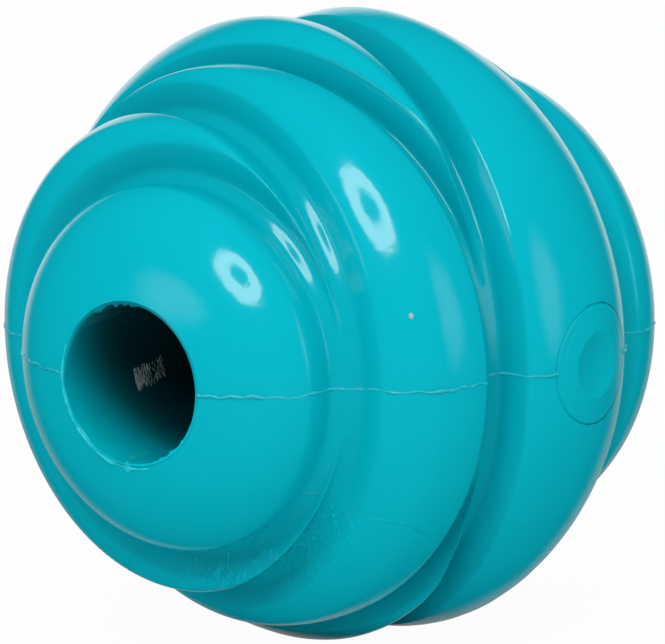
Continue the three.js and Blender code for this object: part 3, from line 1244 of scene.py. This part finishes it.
@dataclass
class SkinMarks:
    """Fine weld lines left where the rubber met in the mould, a lip at the mouth and a pale fleck."""

    shape: BallShape
    welds: tuple[SkinMark, ...] = (
        SkinMark(((36.2, -38.9), (39.7, -36.0), (43.5, -35.1)), 0.10, 0.05),
        SkinMark(((43.6, -36.1), (45.8, -37.9), (47.8, -39.0)), 0.10, 0.05),
        SkinMark(((48.2, -34.0), (51.7, -32.4), (55.5, -31.3), (63.0, -34.6)), 0.11, 0.05),
    )
    fleck: SkinMark = SkinMark(((51.9, 16.3), (51.9, 17.7)), 0.26, 0.12)
    lip_span: Span = (160.0, 284.0)
    lip_width: float = 0.3
    lip_rise: float = 0.26
    lip_points: int = 260
    lip_smoothing: int = 17
    lip_ends: Taper = Taper(0.05, 0.4)
    lip_width_uneven: Uneven = Uneven(0.85, 0.22, 0.4, 1.3)
    lip_rise_uneven: Uneven = Uneven(0.8, 0.3, 0.3, 1.4)
    tag_at: float = 266.0
    tag_spread: float = 2.2
    tag_width: float = 0.5
    seed: int = 7

    def mouth_lip(self) -> MeshDraft:
        """Uneven roll of rubber, with a tag, along one side of the front mouth.

        Returns:
            Points and faces of the roll.
        """
        azimuth = np.radians(np.linspace(*self.lip_span, self.lip_points))
        polar = self.shape.mouth_angle(azimuth) + self.lip_width / self.shape.crown
        line = self.shape.on_skin(directions(polar, azimuth))
        rough = waves(np.random.default_rng(self.seed), self.lip_points, self.lip_smoothing)
        thin = self.lip_ends.shares(self.lip_points)
        tag = self.tag_width * np.exp(-((np.degrees(azimuth) - self.tag_at) / self.tag_spread) ** 2)
        half_width = self.lip_width * thin * self.lip_width_uneven.shares(rough) + tag
        rise = self.lip_rise * thin * self.lip_rise_uneven.shares(rough)
        return ridge(line, self.shape.normals(line), half_width, rise, self.lip_rise)

    def build(self, rubber: bpy.types.Material, flash: bpy.types.Material, pale: bpy.types.Material) -> None:
        """Builds and dresses the marks.

        Args:
            rubber: Rubber of the weld lines.
            flash: Rubber of the squeezed-out lip, paler than the shell: a painted highlight.
            pale: Material of the fleck.
        """
        welds = joined([mark.draft(self.shape) for mark in self.welds])
        dress(welds.piece("weld_lines"), rubber, Slot.GLOSS)
        # The lip's paler rubber is a painted highlight.
        dress(self.mouth_lip().piece("mouth_lip"), flash, Slot.BOND)
        dress(self.fleck.draft(self.shape).piece("pale_fleck"), pale, Slot.BOND)


@dataclass
class FloatCore:
    """The two foam halves inside, which keep their solids and get a foam finish."""

    nodes: tuple[str, ...] = ("float_core_upper", "float_core_lower")

    def dress(self, material: bpy.types.Material) -> None:
        """Puts the foam finish on the solids.

        Args:
            material: The foam.
        """
        for name in self.nodes:
            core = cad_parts[name]
            if not core.material_slots:
                core.data.materials.append(material)
            for holder in core.material_slots:
                holder.material = material
            LOG.info("%s: foam finish on its solid", name)


def way(turn: float, rise: float) -> Vector:
    """Unit vector from the ball, by degrees round Z from -Y towards +X and degrees above the level."""
    round_z, up = math.radians(turn), math.radians(rise)
    return Vector((math.sin(round_z) * math.cos(up), -math.cos(round_z) * math.cos(up), math.sin(up)))


@dataclass(frozen=True)
class Lamp:
    """One oval soft lamp at a distance from the ball, with a faded edge and perhaps a dark middle."""

    name: str
    turn: float
    rise: float
    width: float
    height: float
    glow: float
    fade: float
    dark_middle: float = 0.0
    middle_fade: float = 0.03
    distance: float = 0.5

    def shade(self, light: bpy.types.AreaLight) -> None:
        """Fades the lamp's face towards its edge and darkens its middle.

        Args:
            light: The lamp's data.
        """
        light.use_nodes = True
        kit = NodeKit(light.node_tree)
        glow = next(node for node in light.node_tree.nodes if node.type == "EMISSION")
        face = kit.add("NewGeometry").outputs["Parametric"]
        out = kit.add("VectorMath", face, FACE_MIDDLE, operation="DISTANCE").outputs["Value"]
        edge = kit.ranged(out, FACE_RADIUS * (1.0 - self.fade), FACE_RADIUS, 1.0, 0.0)
        dark = FACE_RADIUS * self.dark_middle
        middle = kit.ranged(out, dark - self.middle_fade, dark)
        kit.give(glow.inputs["Strength"], kit.number("MULTIPLY", edge, middle))

    def place(self) -> None:
        """Adds the lamp, aimed at the ball, with its face as bright as its glow says."""
        light = bpy.data.lights.new(self.name, "AREA")
        light.shape = "ELLIPSE"
        light.size = self.width
        light.size_y = self.height
        light.energy = self.glow * math.pi * math.pi / 4.0 * self.width * self.height
        self.shade(light)
        lamp = add_object(self.name, light)
        towards = way(self.turn, self.rise)
        lamp.location = towards * self.distance
        lamp.rotation_euler = towards.to_track_quat("Z", "Y").to_euler()


@dataclass(frozen=True)
class Studio:
    """Pale floor, white surroundings, soft lamps and the camera, in metres, degrees and picture pixels."""

    floor_height: float = -0.0336
    floor_size: float = 4.0
    floor_colour: Colour = (0.8, 0.8, 0.8)
    floor_white: float = 0.97
    fill_above: float = 0.78
    fill_below: float = 0.14
    room_glow: float = 0.01
    wall_from: float = 0.74
    wall_to: float = 0.92
    dim_below: float = -0.35
    dim_share: float = 0.3
    azimuth: float = 36.03
    elevation: float = 12.49
    roll: float = -0.37
    distance: float = 0.56
    focal_pixels: float = 5282.0
    centre_pixels: Span = (329.3, 323.5)
    frame_pixels: tuple[int, int] = (665, 644)
    sensor: float = 36.0
    clip_start: float = 0.01
    lamps: tuple[Lamp, ...] = (
        Lamp("key_lamp", 27.5, 45.0, 0.31, 0.29, 6.5, 0.12, dark_middle=0.41),
        Lamp("right_lamp", 97.0, 13.0, 0.28, 0.44, 0.85, 0.7),
        Lamp("left_lamp", -18.0, 17.0, 0.36, 0.20, 0.9, 0.7),
    )

    def place_camera(self) -> None:
        """Adds the camera at the photograph's angle."""
        turn, roll = math.radians(self.azimuth), math.radians(self.roll)
        back = way(self.azimuth, self.elevation)
        level = Vector((math.cos(turn), math.sin(turn), 0.0))
        upright = back.cross(level)
        right = level * math.cos(roll) + upright * math.sin(roll)
        up = upright * math.cos(roll) - level * math.sin(roll)
        camera = bpy.data.cameras.new("camera")
        wide, high = self.frame_pixels
        camera.sensor_width = self.sensor
        camera.lens = self.focal_pixels / wide * self.sensor
        camera.shift_x = (wide / 2.0 - self.centre_pixels[0]) / wide
        camera.shift_y = (self.centre_pixels[1] - high / 2.0) / wide
        camera.clip_start = self.clip_start
        holder = add_object("camera", camera)
        turned = Matrix((right, up, back)).transposed().to_4x4()
        holder.matrix_world = Matrix.Translation(back * self.distance) @ turned
        bpy.context.scene.camera = holder

    def light_world(self) -> None:
        """White to the camera, white behind the ball in its gloss, and a grey fill, dimmer from below."""
        world = bpy.data.worlds.new("studio")
        bpy.context.scene.world = world
        world.use_nodes = True
        world.cycles.sampling_method = "NONE"
        world.node_tree.nodes.clear()
        kit = NodeKit(world.node_tree)
        rays = kit.add("LightPath").outputs
        place = kit.add("TexCoord").outputs["Generated"]
        height = kit.add("SeparateXYZ", place).outputs["Z"]
        away = -way(self.azimuth, self.elevation)
        facing = kit.add("VectorMath", place, away, operation="DOT_PRODUCT").outputs["Value"]
        wall = kit.ranged(facing, self.wall_from, self.wall_to, self.room_glow)
        mirrored = kit.number("MULTIPLY", wall, kit.ranged(height, self.dim_below, 0.0, self.dim_share))
        level = kit.ranged(height, -1.0, 1.0, self.fill_below, self.fill_above, "LINEAR")
        white, mirror, fill = (
            kit.add("Background", opaque(WHITE), strength).outputs["Background"]
            for strength in (1.0, mirrored, level)
        )
        shiny = kit.number("MAXIMUM", rays["Is Glossy Ray"], rays["Is Transmission Ray"])
        lit = kit.add("MixShader", shiny, fill, mirror).outputs["Shader"]
        seen = kit.add("MixShader", rays["Is Camera Ray"], lit, white).outputs["Shader"]
        kit.add("OutputWorld", seen)

    def lay_floor(self) -> None:
        """Pale floor that shows white to the camera and keeps a soft shadow."""
        half = self.floor_size / 2.0
        corners = [(-half, -half), (half, -half), (half, half), (-half, half)]
        mesh = bpy.data.meshes.new("floor")
        mesh.from_pydata([(x, y, self.floor_height) for x, y in corners], [], [(0, 1, 2, 3)])
        floor = add_object("floor", mesh)
        material = bpy.data.materials.new("pale_floor")
        material.use_nodes = True
        material.node_tree.nodes.clear()
        kit = NodeKit(material.node_tree)
        seen = kit.number("MULTIPLY", kit.add("LightPath").outputs["Is Camera Ray"], self.floor_white)
        matte = kit.add("BsdfDiffuse", opaque(self.floor_colour)).outputs["BSDF"]
        glow = kit.add("Emission", opaque(WHITE), 1.0).outputs["Emission"]
        kit.add("OutputMaterial", kit.add("MixShader", seen, matte, glow).outputs["Shader"])
        mesh.materials.append(material)
        floor.visible_glossy = False

    def build(self) -> None:
        """Sets up the whole studio."""
        self.place_camera()
        self.light_world()
        self.lay_floor()
        for lamp in self.lamps:
            lamp.place()
        bpy.context.scene.view_settings.view_transform = "Standard"


def main() -> None:
    """Builds the pieces in order."""
    logging.basicConfig(level=logging.INFO, format="%(message)s")
    shape = BallShape()
    wrinkles = (
        WrinklePatch((0.002, -0.0225, -0.0215), 0.0065),
        WrinklePatch((0.010, -0.0225, -0.0190), 0.0065),
        WrinklePatch((0.015, -0.0215, -0.0155), 0.0050),
    )
    # Shell rubber with painted shade in its grooves.
    # The shell's wrinkle crests get a painted highlight.
    gloss = RubberFinish("gloss_rubber", (0.0, 0.46, 0.565), (0.0, 0.49, 0.60), wrinkles=wrinkles,
                         painted_groove_shade_reach=0.006).material()
    # Bore rubber with painted shade towards the middle and the top of the bore.
    bore = RubberFinish("bore_rubber", (0.0, 0.52, 0.63), (0.0, 0.55, 0.66), (0.0, 0.06, 0.075)).material()
    bond = RubberFinish("bond_rubber", (0.03, 0.52, 0.62), (0.02, 0.47, 0.57)).material()
    # Lip rubber paler than the shell: a painted highlight along the mouth's rim.
    flash = RubberFinish("lip_painted_highlight_rubber", (0.03, 0.66, 0.76), (0.02, 0.60, 0.70)).material()
    # Pale material: a painted reflection on the bore's wall, and the fleck's own colour.
    fleck_and_painted_reflection = RubberFinish("fleck_and_painted_reflection_rubber", (0.66, 0.70, 0.72), (0.26, 0.31, 0.33),
                         roughness=(0.4, 0.6)).material()
    foam = FoamFinish().material()
    for side in Side:
        ShellHalf(shape, side).build(gloss)
    SeamFlash(shape).build(bond)
    BoreSleeve(shape).build(bore)
    BorePaintedReflectionAndScratches().build(fleck_and_painted_reflection, bore)
    SkinMarks(shape).build(gloss, flash, fleck_and_painted_reflection)
    VentPlug(shape).build(gloss)
    FloatCore().dress(foam)
    Studio().build()


if __name__ == "__main__":
    main()
